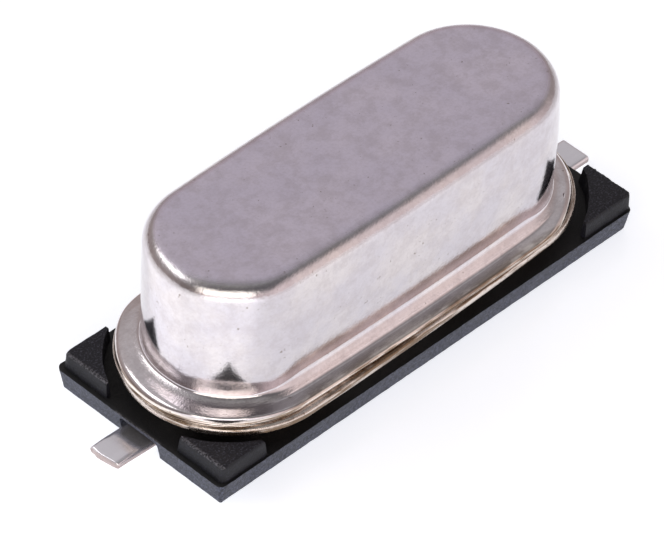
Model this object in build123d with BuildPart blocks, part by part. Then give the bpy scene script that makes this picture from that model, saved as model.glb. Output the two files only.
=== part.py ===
from build123d import *
import os

os.makedirs("parts", exist_ok=True)

# Low-profile surface-mount quartz crystal: a drawn metal can welded to a metal header, standing on a
# moulded plastic base. Origin: middle of the base underside. X runs along the length, Z is up. All mm.

# Can
can_length = 9.95
can_width = 3.48
can_height = 3.05
can_sheet = 0.25
can_top_round = 0.37
side_bow = 0.05
flange_end_reach = 0.555
flange_side_reach = 0.45
flange_sheet = 0.19
flange_shoulder = 0.1
flange_under_round = 0.05
flange_root_round = 0.22

# Header
header_flange_sheet = 0.19
header_flange_end_inset = 0.01
header_flange_side_extra = 0.02
header_flange_turn = 1.2
header_flange_round = 0.06
header_body_height = 0.36
header_body_step = 0.41
header_plateau_height = 0.23
plateau_clearance = 0.06
seal_diameter = 1.3
seal_recess = 0.03

# Leads
pin_spacing = 4.88
pin_diameter = 0.43
pin_stub = 0.48
pin_bend_radius = 0.3
round_run = 0.15
flattening_run = 0.5
tab_width = 0.76
tab_thickness = 0.2
tab_edge_round = 0.09
left_tab_reach = 0.69
right_tab_reach = 0.81
left_lead_yaw = -2.1

# Moulded base
base_plate = 0.52
base_end_margin = 0.18
base_side_margin = 0.09
base_side_draft = 11.9
base_corner_round = 0.15
base_edge_round = 0.03
lug_height = 0.36
lug_end_wall = 0.115
lug_side_wall = 0.138
lug_side_ledge = 0.055
lug_left_ledge = 0.115
lug_draft = 6.0
lug_edge_round = 0.06
lug_corner_round = 0.14
lug_clearance = 0.16
groove_web = 0.1
groove_side_clearance = 0.14
groove_corner_round = 0.1
slot_side_clearance = 0.135

# Spring clips, blank, electrodes, adhesive
blank_end_clearance = 0.725
blank_side_clearance = 0.54
blank_thickness = 0.11
blank_bevel = 0.02
clip_sheet = 0.1
clip_width = 1.5
clip_inner_reach = 0.45
clip_rise_run = 0.35
clip_lift = 0.35
clip_support = 0.71
clip_overhang = 0.24
bond_line = 0.03
film = 0.01
electrode_end_inset = 1.7
electrode_side_inset = 0.2
trace_width = 0.6
trace_end_gap = 0.05
adhesive_length = 0.65
adhesive_beyond = 0.2
adhesive_width = 1.0
adhesive_cover = 0.12
adhesive_round = 0.08

# Sizes that follow from the ones above
flange_length = can_length + 2 * flange_end_reach
flange_width = can_width + 2 * flange_side_reach
flange_end_centre = (flange_length - flange_width) / 2
cavity_length = can_length - 2 * can_sheet
cavity_width = can_width - 2 * can_sheet
base_length = flange_length + 2 * base_end_margin
base_width = flange_width + 2 * base_side_margin
header_flange_bottom = base_plate + header_body_height
flange_bottom = header_flange_bottom + header_flange_sheet
flange_top = flange_bottom + flange_sheet
can_top = flange_bottom + can_height
cavity_top = can_top - can_sheet
header_top = flange_bottom + header_plateau_height
lug_top = base_plate + lug_height
lug_hollow = flange_width / 2 + lug_clearance
lug_outer_y = base_width / 2 - lug_side_ledge
lug_inner_x = flange_end_centre + (lug_hollow**2 - (lug_outer_y - lug_side_wall) ** 2) ** 0.5
lug_end_run = base_length / 2 - lug_left_ledge - lug_end_wall - flange_end_centre
lug_inner_y = (lug_hollow**2 - lug_end_run**2) ** 0.5
pin_x = pin_spacing / 2
pin_top = header_top + pin_stub
wire_radius = pin_diameter / 2
round_run_end = pin_bend_radius + round_run
flat_run_start = round_run_end + flattening_run
left_tip_x = base_length / 2 + left_tab_reach
right_tip_x = base_length / 2 + right_tab_reach
groove_width = tab_width + 2 * groove_side_clearance
groove_height = base_plate - groove_web
slot_width = pin_diameter + 2 * slot_side_clearance
blank_length = cavity_length - 2 * blank_end_clearance
blank_width = cavity_width - 2 * blank_side_clearance
shelf_bottom = pin_top + clip_lift
shelf_top = shelf_bottom + clip_sheet
blank_bottom = shelf_top + bond_line
blank_top = blank_bottom + blank_thickness
electrode_length = blank_length - 2 * electrode_end_inset
electrode_width = blank_width - 2 * electrode_side_inset


def oval(length, width):
    """Face with half-round ends joined by slightly bowed long sides."""
    radius = width / 2
    centre = length / 2 - radius
    with BuildSketch() as outline:
        with BuildLine():
            ThreePointArc((-centre, -radius), (0, -radius - side_bow), (centre, -radius))
            ThreePointArc((centre, -radius), (centre + radius, 0), (centre, radius))
            ThreePointArc((centre, radius), (0, radius + side_bow), (-centre, radius))
            ThreePointArc((-centre, radius), (-centre - radius, 0), (-centre, -radius))
        make_face()
    return outline.sketch


def level_face(solid, height):
    """The level face of a part that lies nearest a height."""
    return solid.faces().filter_by(Plane.XY).sort_by(lambda face: abs(face.center().Z - height))[0]


flange_outline = oval(flange_length, flange_width)
wall_outline = oval(can_length, can_width)
cavity_outline = oval(cavity_length, cavity_width)
body_outline = oval(flange_length - 2 * header_body_step, flange_width - 2 * header_body_step)
lip_outline = oval(
    flange_length - 2 * header_flange_end_inset, flange_width + 2 * header_flange_side_extra
)
plateau_outline = oval(cavity_length - 2 * plateau_clearance, cavity_width - 2 * plateau_clearance)

# Can: oval drawn cup, open below, with a rounded flange
with BuildPart() as can:
    with BuildSketch(Plane.XY.offset(flange_bottom)):
        add(flange_outline)
    extrude(amount=flange_sheet)
    with BuildSketch(Plane.XY.offset(flange_bottom)):
        add(wall_outline)
    extrude(amount=can_height)
    fillet(level_face(can, can_top).edges(), radius=can_top_round)
    fillet(level_face(can, flange_top).inner_wires()[0].edges(), radius=flange_root_round)
    fillet(level_face(can, flange_top).outer_wire().edges(), radius=flange_shoulder)
    fillet(level_face(can, flange_bottom).outer_wire().edges(), radius=flange_under_round)
    with BuildSketch(Plane.XY.offset(flange_bottom)):
        add(cavity_outline)
    extrude(amount=cavity_top - flange_bottom, mode=Mode.SUBTRACT)
    fillet(level_face(can, cavity_top).edges(), radius=can_top_round - can_sheet)
can.part.label = "can"
export_step(can.part, "parts/can.step")

# Header: flange under the can flange, body on the base, plateau inside the can, two seal holes
with BuildPart() as header:
    with BuildSketch(Plane.XY.offset(base_plate)):
        add(body_outline)
    extrude(amount=header_body_height)
    with BuildSketch(Plane.XY.offset(header_flange_bottom).rotated((0, 0, header_flange_turn))):
        add(lip_outline)
    extrude(amount=header_flange_sheet)
    for level in (header_flange_bottom, flange_bottom):
        fillet(level_face(header, level).outer_wire().edges(), radius=header_flange_round)
    with BuildSketch(Plane.XY.offset(flange_bottom)):
        add(plateau_outline)
    extrude(amount=header_plateau_height)
    with BuildSketch(Plane.XY.offset(base_plate)):
        with Locations((-pin_x, 0), (pin_x, 0)):
            Circle(seal_diameter / 2)
    extrude(amount=header_top - base_plate, mode=Mode.SUBTRACT)
header.part.label = "header"
export_step(header.part, "parts/header.step")

# Glass seals: one bead in each header hole, bored for its pin
with BuildPart() as glass_seal_left:
    with BuildSketch(Plane.XY.offset(base_plate + seal_recess)):
        with Locations((-pin_x, 0)):
            Circle(seal_diameter / 2)
            Circle(wire_radius, mode=Mode.SUBTRACT)
    extrude(amount=header_top - base_plate - 2 * seal_recess)
glass_seal_left.part.label = "glass_seal_left"
export_step(glass_seal_left.part, "parts/glass_seal_left.step")

with BuildPart() as glass_seal_right:
    with BuildSketch(Plane.XY.offset(base_plate + seal_recess)):
        with Locations((pin_x, 0)):
            Circle(seal_diameter / 2)
            Circle(wire_radius, mode=Mode.SUBTRACT)
    extrude(amount=header_top - base_plate - 2 * seal_recess)
glass_seal_right.part.label = "glass_seal_right"
export_step(glass_seal_right.part, "parts/glass_seal_right.step")


def lead_wire(frame, tip):
    """Pin, outward bend, and wire flattened to a tab, drawn in a frame whose X points to the tip."""
    side = Plane(origin=frame.origin, x_dir=frame.x_dir, z_dir=-frame.y_dir)
    cross = Plane(origin=frame.origin, x_dir=frame.y_dir, z_dir=frame.x_dir)
    with BuildPart() as wire:
        with BuildLine(side):
            drop = Line((0, pin_top), (0, wire_radius + pin_bend_radius))
            bend = TangentArc(drop @ 1, (pin_bend_radius, wire_radius), tangent=drop % 1)
            Line(bend @ 1, (round_run_end, wire_radius))
        with BuildSketch(Plane(origin=side.from_local_coords((0, pin_top, 0)), z_dir=(0, 0, -1))):
            Circle(wire_radius)
        sweep()
        with BuildSketch(cross.offset(round_run_end)):
            with Locations((0, wire_radius)):
                Circle(wire_radius)
        with BuildSketch(cross.offset(flat_run_start)):
            with Locations((0, tab_thickness / 2)):
                RectangleRounded(tab_width, tab_thickness, tab_edge_round)
        loft()
        with BuildSketch(cross.offset(flat_run_start)):
            with Locations((0, tab_thickness / 2)):
                RectangleRounded(tab_width, tab_thickness, tab_edge_round)
        extrude(amount=tip - pin_x - flat_run_start)
    return wire.part


left_wire = lead_wire(
    Plane(origin=(-pin_x, 0, 0), x_dir=(-1, 0, 0)).rotated((0, 0, left_lead_yaw)), left_tip_x
)
right_wire = lead_wire(Plane(origin=(pin_x, 0, 0), x_dir=(1, 0, 0)), right_tip_x)

# Leads: each a single wire
with BuildPart() as lead_left:
    add(left_wire)
lead_left.part.label = "lead_left"
export_step(lead_left.part, "parts/lead_left.step")

with BuildPart() as lead_right:
    add(right_wire)
lead_right.part.label = "lead_right"
export_step(lead_right.part, "parts/lead_right.step")

# Base: plate with drafted sides, four corner lugs, a groove and a slot for each lead
lug_foot = base_plate - base_edge_round
with BuildPart() as base:
    with BuildSketch(Plane.XY.offset(base_plate)):
        RectangleRounded(base_length, base_width, base_corner_round)
    extrude(amount=-base_plate, taper=base_side_draft)
    fillet(level_face(base, base_plate).edges(), radius=base_edge_round)
    for end, ledge in ((-1, lug_left_ledge), (1, 0)):
        for side in (-1, 1):
            outer_x = base_length / 2 - ledge
            middle_x = end * (lug_inner_x + outer_x) / 2
            middle_y = side * (lug_inner_y + lug_outer_y) / 2
            with BuildSketch(Plane.XY.offset(lug_foot)) as lug:
                with Locations((middle_x, middle_y)):
                    Rectangle(outer_x - lug_inner_x, lug_outer_y - lug_inner_y)
                outer_corner = lug.vertices().sort_by_distance((end * outer_x, side * lug_outer_y, 0))[0]
                fillet(outer_corner, radius=lug_corner_round)
                with Locations((end * flange_end_centre, 0)):
                    Circle(lug_hollow, mode=Mode.SUBTRACT)
            extrude(amount=lug_top - lug_foot, taper=lug_draft)
    lug_rims = base.faces().filter_by(Plane.XY).group_by(Axis.Z)[-1].edges()
    outer_rims = [
        rim for rim in lug_rims
        if abs(rim.center().Y) > lug_outer_y - lug_corner_round
        or abs(rim.center().X) > base_length / 2 - lug_left_ledge - lug_corner_round / 2
        and abs(rim.center().Y) > lug_inner_y + lug_corner_round
    ]
    fillet(outer_rims, radius=lug_edge_round)
    groove_inner = pin_x - wire_radius - slot_side_clearance
    groove_length = base_length / 2 - groove_inner
    for end in (-1, 1):
        with BuildSketch(Plane.YZ.offset(end * groove_inner)) as groove:
            with Locations((0, groove_height / 2)):
                Rectangle(groove_width, groove_height)
            fillet(groove.vertices().group_by(Axis.Y)[-1], radius=groove_corner_round)
        extrude(amount=end * groove_length, mode=Mode.SUBTRACT)
    slot_length = pin_x + flat_run_start - groove_inner
    with BuildSketch(Plane.XY):
        for end in (-1, 1):
            with Locations((end * (groove_inner + slot_length / 2), 0)):
                SlotOverall(slot_length, slot_width)
    extrude(amount=base_plate, mode=Mode.SUBTRACT)
base.part.label = "base"
export_step(base.part, "parts/base.step")


def clip_profile(end):
    """Side view of a clip: foot on the pin, rise, and shelf under the end of the blank."""
    shelf_start = blank_length / 2 - clip_support
    shelf_end = blank_length / 2 + clip_overhang
    lower = [
        (end * (pin_x - clip_inner_reach), pin_top),
        (end * (shelf_start - clip_rise_run), pin_top),
        (end * shelf_start, shelf_bottom),
        (end * shelf_end, shelf_bottom),
    ]
    upper = [(x, z + clip_sheet) for x, z in lower]
    with BuildSketch() as profile:
        with BuildLine():
            Polyline(lower + upper[::-1], close=True)
        make_face()
    return profile.sketch


# Spring clips: bent strips welded on the pins, carrying the blank by its ends
left_profile = clip_profile(-1)
right_profile = clip_profile(1)
with BuildPart() as spring_clip_left:
    with BuildSketch(Plane.XZ):
        add(left_profile)
    extrude(amount=clip_width / 2, both=True)
spring_clip_left.part.label = "spring_clip_left"
export_step(spring_clip_left.part, "parts/spring_clip_left.step")

with BuildPart() as spring_clip_right:
    with BuildSketch(Plane.XZ):
        add(right_profile)
    extrude(amount=clip_width / 2, both=True)
spring_clip_right.part.label = "spring_clip_right"
export_step(spring_clip_right.part, "parts/spring_clip_right.step")

# Quartz blank: a thin strip lying flat above the header
with BuildPart() as quartz_blank:
    with BuildSketch(Plane.XY.offset(blank_bottom)):
        Rectangle(blank_length, blank_width)
    extrude(amount=blank_thickness)
    chamfer(quartz_blank.edges().filter_by(Axis.Y), length=blank_bevel)
quartz_blank.part.label = "quartz_blank"
export_step(quartz_blank.part, "parts/quartz_blank.step")

# Electrodes: metal film on each face, each running out to one end of the blank
trace_outer = blank_length / 2 - trace_end_gap
with BuildPart() as electrode_top:
    with BuildSketch(Plane.XY.offset(blank_top)):
        Rectangle(electrode_length, electrode_width)
        with Locations((-trace_outer / 2, 0)):
            Rectangle(trace_outer, trace_width)
    extrude(amount=film)
electrode_top.part.label = "electrode_top"
export_step(electrode_top.part, "parts/electrode_top.step")

with BuildPart() as electrode_bottom:
    with BuildSketch(Plane.XY.offset(blank_bottom)):
        Rectangle(electrode_length, electrode_width)
        with Locations((trace_outer / 2, 0)):
            Rectangle(trace_outer, trace_width)
    extrude(amount=-film)
electrode_bottom.part.label = "electrode_bottom"
export_step(electrode_bottom.part, "parts/electrode_bottom.step")

# Conductive adhesive: one lump wrapped round each end of the blank, on the shelf of its clip
lump_centre = blank_length / 2 + adhesive_beyond - adhesive_length / 2
with BuildPart() as adhesive_left:
    with BuildSketch(Plane.XY.offset(shelf_top)):
        with Locations((-lump_centre, 0)):
            RectangleRounded(adhesive_length, adhesive_width, adhesive_round)
    extrude(amount=blank_top + adhesive_cover - shelf_top)
    fillet(adhesive_left.faces().sort_by(Axis.Z)[-1].edges(), radius=adhesive_round)
    add(quartz_blank.part, mode=Mode.SUBTRACT)
    add(electrode_top.part, mode=Mode.SUBTRACT)
adhesive_left.part.label = "adhesive_left"
export_step(adhesive_left.part, "parts/adhesive_left.step")

with BuildPart() as adhesive_right:
    with BuildSketch(Plane.XY.offset(shelf_top)):
        with Locations((lump_centre, 0)):
            RectangleRounded(adhesive_length, adhesive_width, adhesive_round)
    extrude(amount=blank_top + adhesive_cover - shelf_top)
    fillet(adhesive_right.faces().sort_by(Axis.Z)[-1].edges(), radius=adhesive_round)
    add(quartz_blank.part, mode=Mode.SUBTRACT)
    add(electrode_bottom.part, mode=Mode.SUBTRACT)
adhesive_right.part.label = "adhesive_right"
export_step(adhesive_right.part, "parts/adhesive_right.step")
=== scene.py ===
"""Surface-mount quartz crystal, dressed for the picture. Metres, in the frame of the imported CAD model."""
import math

import bpy
from mathutils import Matrix, Vector, noise


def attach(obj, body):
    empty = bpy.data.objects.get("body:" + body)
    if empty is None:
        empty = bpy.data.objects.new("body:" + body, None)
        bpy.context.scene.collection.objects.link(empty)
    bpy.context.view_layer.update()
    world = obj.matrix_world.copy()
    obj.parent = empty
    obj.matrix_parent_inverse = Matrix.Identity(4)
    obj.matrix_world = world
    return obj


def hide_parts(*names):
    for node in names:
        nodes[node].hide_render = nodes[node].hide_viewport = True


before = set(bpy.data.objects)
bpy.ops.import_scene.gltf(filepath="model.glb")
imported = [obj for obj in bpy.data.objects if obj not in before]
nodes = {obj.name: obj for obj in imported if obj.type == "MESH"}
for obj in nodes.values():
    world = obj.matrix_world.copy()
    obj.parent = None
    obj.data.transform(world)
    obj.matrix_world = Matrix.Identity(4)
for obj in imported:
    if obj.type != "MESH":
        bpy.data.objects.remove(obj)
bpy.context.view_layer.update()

MM = 0.001
NOISE_SEED = 7  # without one, noise_vector differs from run to run

# Sizes repeated from part.py, in millimetres
CAN_LENGTH, CAN_WIDTH, CAN_SHEET, CAN_ROUND, SIDE_BOW = 9.95, 3.48, 0.25, 0.37, 0.05
FLANGE_LENGTH, FLANGE_WIDTH = 11.06, 4.38
FLANGE_BOTTOM, CAN_TOP = 1.07, 4.12
HEADER_BOTTOM, HEADER_LIP_BOTTOM, HEADER_TOP = 0.52, 0.88, 1.30
HEADER_TURN, HEADER_ROUND, HEADER_STEP = 1.2, 0.06, 0.41
PLATEAU_GAP, SEAL_RADIUS, PIN_X = 0.06, 0.65, 2.44

# The header's lip shows a little more than in the CAD on the long sides
HEADER_EXTRA = 0.045
BORE_SPAN = (0.4, 1.5)
CAVITY_BOTTOM = 2.4

# A long side blends into an end from this distance out, over this length
END_START, END_BLEND = 3.0, 1.3
# Half the width of the faces that close the middle of the top and of the cavity's ceiling
FILL_RADIUS = 0.004

# The drawn flange: on a long side, and at the tip of a round end
FLANGE_HEIGHT = (1.193, 1.282)
FLANGE_SHOULDER = (0.09, 0.045)
FLANGE_BURR = (0.004, 0.022)
FLANGE_UNDER = (0.05, 0.022)
FLANGE_FLAT_INNER = (0.22, 0.255)
# Its root: distance out from the wall, tilt on a long side, tilt at a tip (degrees from level)
FLANGE_ROOT = ((0.205, 13, 6), (0.19, 24, 8), (0.17, 39, 10), (0.14, 50, 14), (0.09, 55, 20), (0.045, 59, 35),
               (0.016, 67, 55), (0.004, 80, 76), (0.0, 88, 86))
# Its slope in degrees: one for the long sides, one for the right end, and by the angle round the left end
SIDE_SLOPE, RIGHT_SLOPE = 12.0, 10.0
LEFT_SLOPES = ((90, 12.0), (140, 8.0), (180, 4.6), (200, 2.5), (223, -2.0), (237, 0.0), (250, 8.0), (270, 12.0))
# Its edge is rounder at the right end and at the far left, where that fades in and out over these angles
RIGHT_SHORT, RIGHT_ROUND, LEFT_ROUND = 0.10, 0.13, 0.14
LEFT_ROUND_IN, LEFT_ROUND_OUT = (110, 145), (182, 212)

# The wall bulges between flange and top, less at the left end, and that end has a flat spot towards the camera
WALL_BULGE, LEFT_BULGE_LOSS = 0.036, 0.8
FLAT_ANGLE, FLAT_SPREAD, FLAT_DEPTH = 223.0, 45.0, 0.014

# Worn leads: voxel size and smoothing passes
LEAD_GRID, LEAD_SMOOTHING = 0.03, 2

# Floor: half width, drop below the part, the distances over which the pool of light round the part ends, and
# the way to the bright card
FLOOR_REACH, FLOOR_DROP = 3.0, 0.00001
POOL_EDGE, CARD_WAY = (0.0115, 0.018), (-0.8, -0.6, 0.0)
LIGHT_DISTANCE, LIGHT_TARGET = 0.3, (0, 0, 0.002)

# Camera solved on the photograph: turn, tilt and roll in degrees, place in metres, lens in millimetres
CAMERA_ANGLES = (-47.0534, 43.0586, 2.748)
CAMERA_PLACE = (-0.0605307, -0.0559265, 0.0777724)
CAMERA_LENS, SENSOR_WIDTH = 311.96, 36.0


# ---------------------------------------------------------------- small sums
def arc_steps(count):
    """Angles from 0 to a right angle in equal steps."""
    return [math.pi / 2 * i / count for i in range(count + 1)]


def smooth(t):
    """0 below 0, 1 above 1, and an S curve between."""
    t = min(max(t, 0), 1)
    return t * t * (3 - 2 * t)


def left_angle(x, y):
    """Angle in degrees round the centre of the can's left end."""
    return math.degrees(math.atan2(y, x + (CAN_LENGTH - CAN_WIDTH) / 2)) % 360


# ---------------------------------------------------------------- mesh helpers
def oval_ring(length, width, height, ends=56, sides=72):
    """Points of a half-round-ended oval with slightly bowed long sides, counter-clockwise from the -Y side of +X."""
    radius, centre = width / 2, (length - width) / 2
    points = []
    for sign in (1, -1):
        for i in range(ends):
            angle = math.pi * (i / ends - 0.5)
            points.append((sign * (centre + radius * math.cos(angle)), sign * radius * math.sin(angle), height))
        for i in range(sides):
            t = 1 - 2 * i / sides
            points.append((sign * centre * t, sign * (radius + SIDE_BOW * (1 - t * t)), height))
    return points


def circle_ring(x, radius, height, count=64):
    turns = [2 * math.pi * i / count for i in range(count)]
    return [(x + radius * math.cos(a), radius * math.sin(a), height) for a in turns]


def linked(name, mesh):
    piece = bpy.data.objects.new(name, mesh)
    bpy.context.scene.collection.objects.link(piece)
    return piece


def loft(name, rings):
    """Closed quad strips from ring to ring, with the first and last rings filled."""
    around = len(rings[0])
    mesh = bpy.data.meshes.new(name)
    verts = [Vector(p) * MM for ring in rings for p in ring]
    faces = []
    for k in range(len(rings) - 1):
        low, high = k * around, (k + 1) * around
        for i in range(around):
            j = (i + 1) % around
            faces.append((low + i, low + j, high + j, high + i))
    faces.append(tuple(reversed(range(around))))
    faces.append(tuple(range((len(rings) - 1) * around, len(rings) * around)))
    mesh.from_pydata(verts, [], faces)
    mesh.validate()
    mesh.shade_smooth()
    return linked(name, mesh)


def made_real(piece):
    """The piece's mesh as its modifiers leave it; the objects that they use go away."""
    mesh = bpy.data.meshes.new_from_object(piece.evaluated_get(bpy.context.evaluated_depsgraph_get()))
    for modifier in piece.modifiers:
        if modifier.type == "BOOLEAN":
            bpy.data.objects.remove(modifier.object)
    piece.modifiers.clear()
    piece.data = mesh
    mesh.name = piece.name
    return piece


def scratch_copy(node, name):
    """A copy of a CAD mesh in millimetres, with a remesh modifier to make it finer."""
    mesh = nodes[node].data.copy()
    mesh.transform(Matrix.Scale(1 / MM, 4))
    piece = linked(name, mesh)
    return piece, piece.modifiers.new("grid", "REMESH")


def softened(node, name):
    """A finer copy of a CAD mesh, in millimetres, with its edges rounded a little by wear."""
    piece, remesh = scratch_copy(node, name)
    remesh.mode, remesh.voxel_size = "VOXEL", LEAD_GRID
    wear = piece.modifiers.new("wear", "SMOOTH")
    wear.factor, wear.iterations = 0.5, LEAD_SMOOTHING
    made_real(piece)
    piece.data.shade_smooth()
    return piece


def in_metres(piece):
    piece.data.transform(Matrix.Scale(MM, 4))
    return piece


def dress(piece, node, look):
    """The piece stands for the CAD node, in the finish given."""
    piece.data.materials.clear()
    piece.data.materials.append(look)
    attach(piece, "root")
    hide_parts(node)


# ---------------------------------------------------------------- node helpers
def colour(shade):
    return (*shade, 1.0)


class Graph:
    """Short way to write a node tree."""

    def __init__(self, tree):
        self.tree = tree
        tree.nodes.clear()

    def put(self, value, socket):
        if isinstance(value, bpy.types.NodeSocket):
            self.tree.links.new(value, socket)
        else:
            socket.default_value = value

    def add(self, kind, settings=None, **inputs):
        """Inputs go by name, with _ for a space, or by number, as i0, i1 and so on."""
        node = self.tree.nodes.new(kind)
        for key, value in (settings or {}).items():
            setattr(node, key, value)
        for key, value in inputs.items():
            by_number = key[0] == "i" and key[1:].isdigit()
            self.put(value, node.inputs[int(key[1:]) if by_number else key.replace("_", " ")])
        return node

    def math(self, operation, *values):
        inputs = {f"i{i}": value for i, value in enumerate(values)}
        return self.add("ShaderNodeMath", {"operation": operation}, **inputs).outputs[0]

    def times(self, *values):
        product = values[0]
        for value in values[1:]:
            product = self.math("MULTIPLY", product, value)
        return product

    def times_plus(self, a, b, c):
        return self.math("MULTIPLY_ADD", a, b, c)

    def noise(self, vector, scale, detail=4.0, roughness=0.5):
        return self.add("ShaderNodeTexNoise", Vector=vector, Scale=scale, Detail=detail,
                        Roughness=roughness).outputs["Fac"]

    def streaks(self, vector, scales, detail=4.0, roughness=0.6):
        """Noise that runs in streaks, because each direction has a scale of its own."""
        scaled = self.add("ShaderNodeMapping", Vector=vector, Scale=scales).outputs[0]
        return self.noise(scaled, 1.0, detail, roughness)

    def span(self, value, low, high, to_low=0.0, to_high=1.0):
        """An S curve from to_low, below low, to to_high, above high."""
        return self.add("ShaderNodeMapRange", {"interpolation_type": "SMOOTHSTEP"}, Value=value, From_Min=low,
                        From_Max=high, To_Min=to_low, To_Max=to_high).outputs[0]

    def ramp(self, value, stops):
        node = self.add("ShaderNodeValToRGB", Fac=value)
        elements = node.color_ramp.elements
        while len(elements) > 1:
            elements.remove(elements[-1])
        elements[0].position, elements[0].color = stops[0][0], colour(stops[0][1])
        for position, shade in stops[1:]:
            elements.new(position).color = colour(shade)
        return node.outputs[0]

    def mix(self, factor, a, b):
        node = self.add("ShaderNodeMix", {"data_type": "RGBA"}, i0=factor)
        for value, socket in ((a, node.inputs[6]), (b, node.inputs[7])):
            self.put(colour(value) if isinstance(value, tuple) else value, socket)
        return node.outputs[2]

    def part(self, vector, axis):
        return self.add("ShaderNodeSeparateXYZ", Vector=vector).outputs[axis]

    def upright(self, low, high):
        """1 on an upright face, 0 on a level one; low and high are between 0 and 1."""
        facing = self.part(self.add("ShaderNodeNewGeometry").outputs["Normal"], 2)
        return self.span(self.math("ABSOLUTE", facing), low, high, 1.0, 0.0)


def material(name):
    made = bpy.data.materials.new(name)
    made.use_nodes = True
    graph = Graph(made.node_tree)
    shader = graph.add("ShaderNodeBsdfPrincipled")
    out = graph.add("ShaderNodeOutputMaterial")
    graph.tree.links.new(shader.outputs[0], out.inputs[0])
    place = graph.add("ShaderNodeTexCoord").outputs["Object"]
    return made, graph, shader, place


def finish(g, shader, tint, rough, relief=None, depth=0.0, **fixed):
    """Colour, roughness and a bump that vary over the surface; the fixed values go on the shader's own sockets."""
    g.put(tint, shader.inputs["Base Color"])
    g.put(rough, shader.inputs["Roughness"])
    if relief:
        bump = g.add("ShaderNodeBump", Height=relief, Distance=depth, Strength=1.0)
        g.put(bump.outputs[0], shader.inputs["Normal"])
    for key, value in fixed.items():
        shader.inputs[key.replace("_", " ")].default_value = value


# ---------------------------------------------------------------- materials
# Scales are in turns per metre, and bands by height in metres.
def dots(g, place, scale, low, high):
    """Sparse specks: 1 inside a speck."""
    return g.span(g.noise(place, scale, 3.0, 0.6), low, high)


def can_metal():
    made, g, shader, place = material("can_nickel")
    height = g.part(place, 2)
    top = g.span(height, 0.00406, 0.00411)
    shoulder = g.times(g.span(height, 0.00372, 0.00385), g.span(height, 0.00406, 0.00412, 1.0, 0.0))
    flange = g.span(height, 0.00128, 0.00150, 1.0, 0.0)
    root = g.times(g.span(height, 0.00127, 0.00129), g.span(height, 0.00132, 0.00137, 1.0, 0.0))
    seam = g.span(height, 0.00117, 0.00124, 1.0, 0.0)
    blotch = g.noise(place, 700.0, 5.0, 0.6)
    grain = g.noise(place, 16000.0, 3.0, 0.6)
    smear = g.streaks(place, (500.0, 500.0, 2600.0))
    fall = g.streaks(place, (2600.0, 2600.0, 260.0))
    rings = g.streaks(place, (500.0, 500.0, 14000.0))
    weld = g.streaks(place, (800.0, 800.0, 15000.0), 5.0, 0.65)

    tint = g.mix(g.span(blotch, 0.38, 0.68), (0.665, 0.632, 0.668), (0.740, 0.696, 0.692))
    tint = g.mix(top, tint, g.mix(g.span(blotch, 0.35, 0.7), (0.805, 0.735, 0.860), (0.865, 0.785, 0.895)))
    tint = g.mix(flange, tint, g.mix(g.span(rings, 0.35, 0.65), (0.770, 0.705, 0.705), (0.840, 0.795, 0.810)))
    tint = g.mix(seam, tint, g.mix(g.span(weld, 0.42, 0.58), (0.24, 0.17, 0.11), (0.90, 0.82, 0.74)))
    mottle = g.span(g.noise(place, 3000.0, 6.0, 0.7), 0.40, 0.66)
    tint = g.mix(g.times(mottle, 0.26), tint, (0.42, 0.36, 0.36))
    tint = g.mix(g.times(g.span(grain, 0.35, 0.75), 0.16), tint, (0.45, 0.40, 0.42))
    specks = g.times(dots(g, place, 9000.0, 0.662, 0.735), dots(g, place, 1300.0, 0.46, 0.58))
    tint = g.mix(g.times(specks, 0.75), tint, (0.20, 0.15, 0.11))

    rough = g.times_plus(g.span(smear, 0.3, 0.7), 0.03, g.times_plus(top, 0.19, 0.065))
    relief = g.times_plus(g.times(root, g.noise(place, 26000.0, 3.0, 0.6)), 5.0, grain)
    relief = g.times_plus(g.times(rings, flange), 2.0, relief)
    relief = g.times_plus(fall, 1.2, relief)
    relief = g.times_plus(g.times(shoulder, g.noise(place, 8000.0, 5.0, 0.7)), 4.0, relief)
    finish(g, shader, tint, g.times_plus(grain, 0.07, rough), relief, 0.0000014, Metallic=1.0)
    return made


def header_metal():
    made, g, shader, place = material("header_nickel")
    streak = g.streaks(place, (700.0, 700.0, 12000.0), 5.0, 0.65)
    grain = g.noise(place, 14000.0, 3.0, 0.6)
    tint = g.mix(g.span(streak, 0.42, 0.58), (0.22, 0.15, 0.10), (0.78, 0.70, 0.64))
    tint = g.mix(dots(g, place, 7000.0, 0.60, 0.75), tint, (0.22, 0.16, 0.12))
    finish(g, shader, tint, g.times_plus(grain, 0.16, 0.20), g.times_plus(grain, 1.2, streak), 0.000009, Metallic=1.0)
    return made


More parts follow.
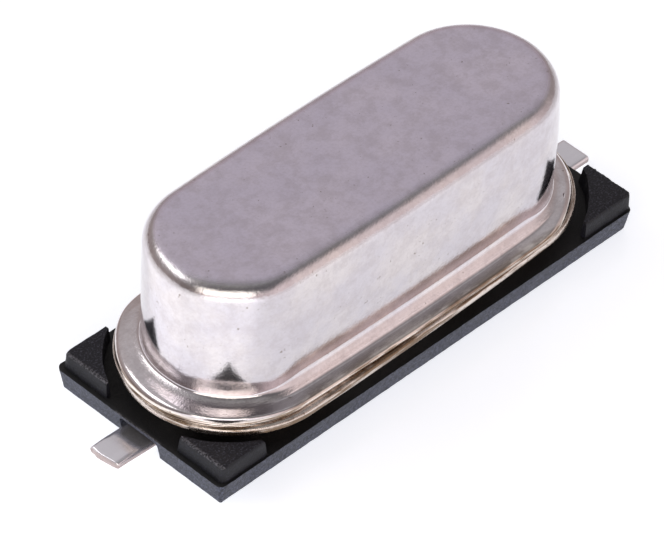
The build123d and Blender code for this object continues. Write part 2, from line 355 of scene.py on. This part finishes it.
def base_plastic():
    made, g, shader, place = material("base_plastic")
    height = g.part(place, 2)
    lug = g.span(height, 0.00050, 0.00053)
    shadowed_ledge = g.span(height, 0.00056, 0.00060, 1.0, 0.0)
    grain = g.noise(place, 24000.0, 3.0, 0.65)
    cloud = g.noise(place, 1300.0, 3.0, 0.5)
    # Same black plastic coloured by face: plate sides lighter and bluer (painted light), lug sides darker (painted
    # shade)
    lit_plate_side = g.mix(g.span(grain, 0.40, 0.68), (0.016, 0.018, 0.028), (0.086, 0.096, 0.148))
    shaded_lug_side = g.mix(g.span(grain, 0.45, 0.75), (0.004, 0.004, 0.007), (0.016, 0.017, 0.029))
    lug_top = g.mix(g.span(grain, 0.48, 0.70), (0.007, 0.007, 0.012), (0.058, 0.058, 0.080))
    # Level faces: lug tops between, the plate's top round the header near black as painted shadow under the flange
    level = g.mix(shadowed_ledge, lug_top, (0.005, 0.005, 0.006))
    shade = g.mix(g.upright(0.5, 0.9), level, g.mix(lug, lit_plate_side, shaded_lug_side))

    # lighter lines at the left end, along the rims of the lugs and of the notch: part wear, part painted highlight
    x, y = (g.math("ABSOLUTE", g.part(place, axis)) for axis in (0, 1))
    west = g.span(g.part(place, 0), -0.0053, -0.0052, 1.0, 0.0)
    rim = g.times(g.span(height, 0.00082, 0.00085), g.span(x, 0.00548, 0.00551))
    notch = g.times(g.span(height, 0.00048, 0.00050), g.span(x, 0.00567, 0.00569),
                    g.span(y, 0.00060, 0.00064, 1.0, 0.0))
    wear_and_highlight = g.times(g.math("MAXIMUM", rim, notch), g.times(west, 0.35), g.span(grain, 0.4, 0.6))
    finish(g, shader, g.mix(wear_and_highlight, shade, (0.30, 0.29, 0.32)), g.times_plus(cloud, 0.2, 0.45), grain, 0.000010,
           Specular_IOR_Level=0.4)
    return made


def tin():
    made, g, shader, place = material("lead_tin")
    lines = g.streaks(place, (900.0, 7000.0, 7000.0))
    grain = g.noise(place, 9000.0, 3.0, 0.6)
    sheared = g.upright(0.15, 0.75)
    plated = g.mix(lines, (0.88, 0.85, 0.90), (0.96, 0.94, 0.98))
    tint = g.mix(sheared, plated, g.mix(grain, (0.30, 0.22, 0.20), (0.62, 0.55, 0.54)))
    rough = g.times_plus(sheared, 0.2, g.times_plus(grain, 0.14, 0.14))
    finish(g, shader, tint, rough, g.times_plus(grain, 0.5, lines), 0.000002, Metallic=0.86)
    return made


def glass():
    made, g, shader, place = material("seal_glass")
    cloud = g.noise(place, 3000.0)
    tint = g.mix(cloud, (0.03, 0.05, 0.07), (0.08, 0.12, 0.13))
    finish(g, shader, tint, g.span(cloud, 0.2, 0.8, 0.08, 0.2), IOR=1.52)
    return made


def clip_metal():
    made, g, shader, place = material("clip_nickel")
    lines = g.streaks(place, (1200.0, 12000.0, 4000.0))
    tint = g.mix(lines, (0.60, 0.56, 0.52), (0.74, 0.70, 0.67))
    finish(g, shader, tint, g.span(lines, 0.2, 0.8, 0.22, 0.38), lines, 0.000003, Metallic=1.0)
    return made


def quartz():
    made, g, shader, place = material("quartz")
    lap = g.noise(place, 26000.0, 3.0, 0.6)
    tint = g.mix(lap, (0.86, 0.88, 0.90), (0.95, 0.96, 0.97))
    finish(g, shader, tint, g.span(lap, 0.2, 0.8, 0.25, 0.42), lap, 0.000002, IOR=1.54, Transmission_Weight=0.85)
    return made


def silver():
    made, g, shader, place = material("electrode_silver")
    lap = g.noise(place, 24000.0, 3.0, 0.6)
    tarnish = g.span(g.noise(place, 1400.0, 4.0, 0.6), 0.45, 0.75)
    tint = g.mix(tarnish, (0.93, 0.92, 0.90), (0.80, 0.75, 0.66))
    finish(g, shader, tint, g.span(lap, 0.2, 0.8, 0.25, 0.4), lap, 0.000002, Metallic=1.0)
    return made


def adhesive():
    made, g, shader, place = material("silver_adhesive")
    flake = g.noise(place, 16000.0, 5.0, 0.7)
    tint = g.mix(g.span(flake, 0.4, 0.65), (0.30, 0.29, 0.28), (0.72, 0.71, 0.69))
    finish(g, shader, tint, g.span(flake, 0.3, 0.7, 0.35, 0.65), flake, 0.00001, Metallic=0.7)
    return made


# ---------------------------------------------------------------- can
def flange_slope(x, y, end):
    if x > 0:
        return SIDE_SLOPE + (RIGHT_SLOPE - SIDE_SLOPE) * end
    angle = left_angle(x, y)
    for (before, low), (after, high) in zip(LEFT_SLOPES, LEFT_SLOPES[1:]):
        if before <= angle <= after:
            return low + (high - low) * smooth((angle - before) / (after - before))
    return SIDE_SLOPE


def can_profile(reach, end, slope, rounder, bulge):
    """Section of the can's skin as (distance out from the wall, height); end is 0 on a long side and 1 at a tip."""
    def between(pair):
        return pair[0] + (pair[1] - pair[0]) * end

    height, burr, under = between(FLANGE_HEIGHT), between(FLANGE_BURR), between(FLANGE_UNDER)
    slope, shoulder = math.radians(slope), between(FLANGE_SHOULDER) + rounder
    # underside, from the cavity's wall to the rounded lower edge
    points = [(-CAN_SHEET + t * (reach - under + CAN_SHEET), FLANGE_BOTTOM) for t in (0, 0.4, 0.8, 1)]
    for a in arc_steps(4)[1:]:
        points.append((reach - under * (1 - math.sin(a)), FLANGE_BOTTOM + under * (1 - math.cos(a))))
    # the trimmed edge stands out a little above the weld
    for t in (0.15, 0.4, 0.7, 1.0):
        points.append((reach - burr * (1 - math.cos(math.pi * t)) / 2, FLANGE_BOTTOM + under + burr * (0.2 + t)))
    # rounded upper edge, then the sloping flat
    for i in range(11):
        tilt = math.pi / 2 + (slope - math.pi / 2) * i / 10
        rise = shoulder * (math.cos(tilt) - math.cos(slope))
        points.append((reach - burr - shoulder * (1 - math.sin(tilt)), height + rise))
    outer, inner = points[-1][0], between(FLANGE_FLAT_INNER)
    for t in (0.25, 0.5, 0.75, 1.0):
        points.append((outer + t * (inner - outer), height + t * (outer - inner) * math.tan(slope)))
    # the root steepens towards the wall; its height is the sum of its slopes
    foot, before, last = points[-1][1], slope, inner
    for s, side_tilt, tip_tilt in FLANGE_ROOT:
        tilt = math.radians(between((side_tilt, tip_tilt)))
        foot += (last - s) * math.tan((before + tilt) / 2)
        points.append((s, foot))
        before, last = tilt, s
    # wall, rounded top edge, flat top
    high = CAN_TOP - CAN_ROUND
    for i in range(1, 24):
        points.append((bulge * math.sin(math.pi * i / 24), foot + (high - foot) * i / 24))
    for a in arc_steps(14):
        points.append((-CAN_ROUND * (1 - math.cos(a)), high + CAN_ROUND * math.sin(a)))
    crown = CAN_WIDTH / 2 - CAN_ROUND - FILL_RADIUS
    points += [(-CAN_ROUND - crown * i / 11, CAN_TOP) for i in range(1, 12)]
    return points


def end_wobble(wall):
    """The left end is drawn a little flat towards the camera side, between two slightly fuller corners."""
    arm = wall + Vector(((CAN_LENGTH - CAN_WIDTH) / 2, 0, 0))
    turn = (left_angle(wall.x, wall.y) - FLAT_ANGLE) / FLAT_SPREAD
    if arm.x > 0 or abs(turn) > 1:
        return Vector((0, 0, 0))
    return arm.normalized() * (-FLAT_DEPTH * math.cos(1.5 * math.pi * turn) * smooth(3 - 3 * abs(turn)))


def can_rings():
    """The outside of the can as rings, from the flange's underside to the middle of the top."""
    walls = oval_ring(CAN_LENGTH, CAN_WIDTH, 0)
    rims = oval_ring(FLANGE_LENGTH, FLANGE_WIDTH, 0)
    middles = oval_ring(CAN_LENGTH - CAN_WIDTH + 2 * FILL_RADIUS, 2 * FILL_RADIUS, 0)
    columns = []
    for wall, rim, middle in zip(walls, rims, middles):
        wall, rim, middle = Vector(wall), Vector(rim), Vector(middle)
        wall += end_wobble(wall)
        end = smooth((abs(wall.x) - END_START) / END_BLEND)
        right, left = (end, 0) if wall.x > 0 else (0, end)
        angle = left_angle(wall.x, wall.y)
        (fade_in, whole), (waning, gone) = LEFT_ROUND_IN, LEFT_ROUND_OUT
        far_left = left * smooth((angle - fade_in) / (whole - fade_in)) * smooth((gone - angle) / (gone - waning))
        rim -= (rim - wall).normalized() * RIGHT_SHORT * right
        reach = (rim - wall).length
        out, inward = (rim - wall) / reach, (middle - wall) / (CAN_WIDTH / 2 - FILL_RADIUS)
        slope, bulge = flange_slope(wall.x, wall.y, end), WALL_BULGE * (1 - LEFT_BULGE_LOSS * left)
        column = []
        for s, z in can_profile(reach, end, slope, RIGHT_ROUND * right + LEFT_ROUND * far_left, bulge):
            spot = wall + (out * s if s >= 0 else -inward * s)
            column.append((spot.x, spot.y, z))
        columns.append(column)
    return [list(ring) for ring in zip(*columns)]


def can_inner_rings():
    """The cavity as rings, from the middle of its ceiling down its wall."""
    length, width = CAN_LENGTH - 2 * CAN_SHEET, CAN_WIDTH - 2 * CAN_SHEET
    ceiling, small = CAN_TOP - CAN_SHEET, CAN_ROUND - CAN_SHEET
    steps = [(inset, 0) for inset in (width / 2 - FILL_RADIUS, width / 4, small)]
    steps += [(small * (1 - math.sin(a)), small * (1 - math.cos(a))) for a in arc_steps(5)[1:]]
    rings = [oval_ring(length - 2 * inset, width - 2 * inset, ceiling - drop) for inset, drop in steps]
    return rings + [oval_ring(length, width, CAVITY_BOTTOM)]


def build_can():
    """One closed skin: cavity ceiling, cavity wall, flange underside, outside, top."""
    return loft("can_shell", can_inner_rings() + can_rings())


# ---------------------------------------------------------------- header, base, leads
def header_rings():
    rings = []
    body = FLANGE_LENGTH - 2 * HEADER_STEP, FLANGE_WIDTH - 2 * HEADER_STEP
    lip = FLANGE_LENGTH, FLANGE_WIDTH + 2 * HEADER_EXTRA
    plateau = CAN_LENGTH - 2 * CAN_SHEET - 2 * PLATEAU_GAP, CAN_WIDTH - 2 * CAN_SHEET - 2 * PLATEAU_GAP

    def ring(size, inset, height, turn=0.0):
        spin = Matrix.Rotation(math.radians(turn), 3, "Z")
        rings.append([spin @ Vector(p) for p in oval_ring(size[0] - 2 * inset, size[1] - 2 * inset, height)])

    ring(body, 0, HEADER_BOTTOM)
    ring(body, 0, HEADER_LIP_BOTTOM)
    for a in arc_steps(5):
        ring(lip, HEADER_ROUND * (1 - math.sin(a)), HEADER_LIP_BOTTOM + HEADER_ROUND * (1 - math.cos(a)), HEADER_TURN)
    for a in arc_steps(5):
        ring(lip, HEADER_ROUND * (1 - math.cos(a)), FLANGE_BOTTOM - HEADER_ROUND * (1 - math.sin(a)), HEADER_TURN)
    ring(plateau, 0, FLANGE_BOTTOM)
    ring(plateau, 0, HEADER_TOP)
    return rings


def build_header():
    header = loft("header_shell", header_rings())
    for side in (-1, 1):
        bore = loft("bore", [circle_ring(side * PIN_X, SEAL_RADIUS, z) for z in BORE_SPAN])
        cut = header.modifiers.new("bore", "BOOLEAN")
        cut.operation, cut.solver, cut.object = "DIFFERENCE", "EXACT", bore
    return made_real(header)


def build_base():
    """The moulded base: edges a little uneven, the far right lug's rim ragged, the right end a little fuller."""
    piece, remesh = scratch_copy("base", "base_moulding")
    remesh.mode, remesh.octree_depth, remesh.scale = "SHARP", 8, 0.98
    made_real(piece)
    noise.seed_set(NOISE_SEED)
    for vert in piece.data.vertices:
        p = vert.co
        uneven = noise.noise_vector(p * 5) * 0.006 + noise.noise_vector(p * 16) * 0.004
        uneven.z *= smooth(p.z / 0.2)
        p += uneven
        p.x += 0.08 * smooth((p.x - 4.2) / 1.4)
        p.x += 0.05 * smooth((p.x - 5.2) / 0.3) * smooth((p.z - 0.48) / 0.4)
        ragged = smooth((p.x - 5.45) / 0.12) * smooth((-p.y - 0.9) / 0.2) * smooth((p.z - 0.78) / 0.06)
        tooth = noise.noise(Vector((2.0, p.y * 17, 3.0)))
        p += Vector((0.02, 0, 0.026)) * ragged * tooth
        vert.co = p
    in_metres(piece)
    piece.data.shade_smooth()
    piece.data.set_sharp_from_angle(angle=math.radians(28))
    return piece


def build_left_lead():
    """The left tab's cut end runs a little long at its far corner and is rolled over."""
    piece = softened("lead_left", "lead_left_worn")
    for vert in piece.data.vertices:
        tip = smooth((-vert.co.x - 6.1) / 0.3)
        vert.co.x -= tip * 0.085 * smooth((vert.co.y + 0.4) / 0.75)
        vert.co.z -= tip * 0.02 * smooth(vert.co.z / 0.1)
    return in_metres(piece)


def build_right_lead():
    """The right tab is a little longer than the drawing says."""
    piece = softened("lead_right", "lead_right_worn")
    for vert in piece.data.vertices:
        vert.co.x += 0.05 * smooth((vert.co.x - 5.6) / 0.6)
    return in_metres(piece)


finish_of = {
    "can": can_metal(), "header": header_metal(), "base": base_plastic(), "lead": tin(), "glass": glass(),
    "spring": clip_metal(), "quartz": quartz(), "electrode": silver(), "adhesive": adhesive(),
}
for name, node in nodes.items():
    node.data.materials.clear()
    node.data.materials.append(finish_of[name.split("_")[0]])

dress(build_can(), "can", finish_of["can"])
dress(build_header(), "header", finish_of["header"])
dress(build_base(), "base", finish_of["base"])
dress(build_left_lead(), "lead_left", finish_of["lead"])
dress(build_right_lead(), "lead_right", finish_of["lead"])


# ---------------------------------------------------------------- stage, light, camera
def floor():
    """Pale floor that glows a little, most in a pool round the part and on a card on the camera's side."""
    mesh = bpy.data.meshes.new("floor")
    corners = [(x * FLOOR_REACH, y * FLOOR_REACH, 0) for x, y in ((-1, -1), (1, -1), (1, 1), (-1, 1))]
    mesh.from_pydata(corners, [], [(0, 1, 2, 3)])
    plane = linked("floor", mesh)
    plane.location.z = -FLOOR_DROP
    made, g, shader, place = material("floor_white")
    away = g.add("ShaderNodeVectorMath", {"operation": "LENGTH"}, i0=place).outputs["Value"]
    ahead = g.add("ShaderNodeVectorMath", {"operation": "DOT_PRODUCT"}, i0=place, i1=CARD_WAY).outputs["Value"]
    outside = g.span(away, *POOL_EDGE)
    card = g.span(g.math("DIVIDE", ahead, away), 0.93, 0.97)
    pool = g.span(g.part(place, 0), -0.0065, -0.0045, 0.90, 0.67)
    finish(g, shader, g.mix(g.noise(place, 300.0), (0.74, 0.715, 0.67), (0.77, 0.745, 0.70)), 0.2,
           Emission_Color=(0.93, 0.97, 1.06, 1.0))
    g.put(g.times_plus(outside, g.times_plus(card, 1.1, -0.3), pool), shader.inputs["Emission Strength"])
    mesh.materials.append(made)


def surroundings():
    """Soft studio light by direction: bright low down and dark above on the camera's side, even at the back."""
    world = bpy.data.worlds.new("studio")
    bpy.context.scene.world = world
    world.use_nodes = True
    g = Graph(world.node_tree)
    way = g.add("ShaderNodeTexCoord").outputs["Generated"]
    x, y, z = g.add("ShaderNodeSeparateXYZ", Vector=way).outputs
    turn = g.times_plus(g.math("ARCTAN2", y, x), 0.5 / math.pi, 0.5)
    rise = g.times(g.math("ARCSINE", z), 180 / math.pi)

    def around(tint, *stops):
        """A tint times a strength that goes from stop to stop, each a compass angle and its strength."""
        return g.ramp(turn, [((angle + 180) / 360, tuple(shade * part for part in tint)) for angle, shade in stops])

    low = around((1.10, 0.95, 0.93), (-180, 0.18), (-167, 0.35), (-162, 0.9), (-122, 0.8), (-100, 0.68), (-80, 0.9),
                 (-56, 0.84), (-32, 0.6), (-10, 0.36), (22, 0.34), (40, 0.36), (90, 0.34), (147, 0.34), (165, 0.2))
    high = around((1.0, 0.97, 1.0), (-180, 0.3), (-150, 0.17), (-80, 0.17), (-50, 0.2), (-18, 0.33), (0, 0.4),
                  (42, 0.5), (95, 0.55), (158, 0.5), (166, 0.3))
    lift = around((9.0, 9.0, 9.0), (-180, 0), (-100, 0), (-60, 1), (-20, 1), (30, 0))
    above = g.span(g.math("SUBTRACT", rise, lift), 14.0, 42.0)
    shade = g.mix(g.span(rise, 55.0, 80.0), g.mix(above, low, high), (0.32, 0.32, 0.32))
    shade = g.mix(g.add("ShaderNodeLightPath").outputs["Is Camera Ray"], shade, (0.93, 0.93, 0.94))
    back = g.add("ShaderNodeBackground", Color=shade, Strength=1.0)
    out = g.add("ShaderNodeOutputWorld")
    g.tree.links.new(back.outputs[0], out.inputs[0])


def softbox(name, direction, spread, radiance, tint):
    """A soft light seen from the part in a direction (azimuth, elevation), spread degrees wide and high."""
    data = bpy.data.lights.new(name, "AREA")
    width, height = (2 * LIGHT_DISTANCE * math.tan(math.radians(angle / 2)) for angle in spread)
    data.shape, data.size, data.size_y, data.color = "RECTANGLE", width, height, tint
    data.energy = radiance * math.pi * width * height
    lamp = linked(name, data)
    lamp.visible_camera = False
    azimuth, elevation = (math.radians(v) for v in direction)
    level = math.cos(elevation)
    way = Vector((math.cos(azimuth) * level, math.sin(azimuth) * level, math.sin(elevation)))
    lamp.location = Vector(LIGHT_TARGET) + way * LIGHT_DISTANCE
    lamp.rotation_euler = way.to_track_quat("Z", "Y").to_euler()


def camera():
    turn, tilt, roll = (math.radians(v) for v in CAMERA_ANGLES)
    back = Vector((math.sin(turn) * math.cos(tilt), -math.cos(turn) * math.cos(tilt), math.sin(tilt)))
    right = Vector((math.cos(turn), math.sin(turn), 0))
    up = back.cross(right)
    across = math.cos(roll) * right + math.sin(roll) * up
    along = math.cos(roll) * up - math.sin(roll) * right
    data = bpy.data.cameras.new("photo_camera")
    data.sensor_fit, data.sensor_width, data.lens = "HORIZONTAL", SENSOR_WIDTH, CAMERA_LENS
    data.clip_start, data.clip_end = 0.001, 20.0
    view = linked("photo_camera", data)
    view.matrix_world = Matrix.Translation(CAMERA_PLACE) @ Matrix((across, along, back)).transposed().to_4x4()
    bpy.context.scene.camera = view


floor()
surroundings()
softbox("back_light", (126, 46), (40, 16), 2.0, (1.0, 1.0, 1.0))
softbox("camera_light", (-143, 28), (50, 33), 1.6, (1.0, 0.96, 0.88))
camera()
bpy.context.scene.view_settings.view_transform = "Standard"
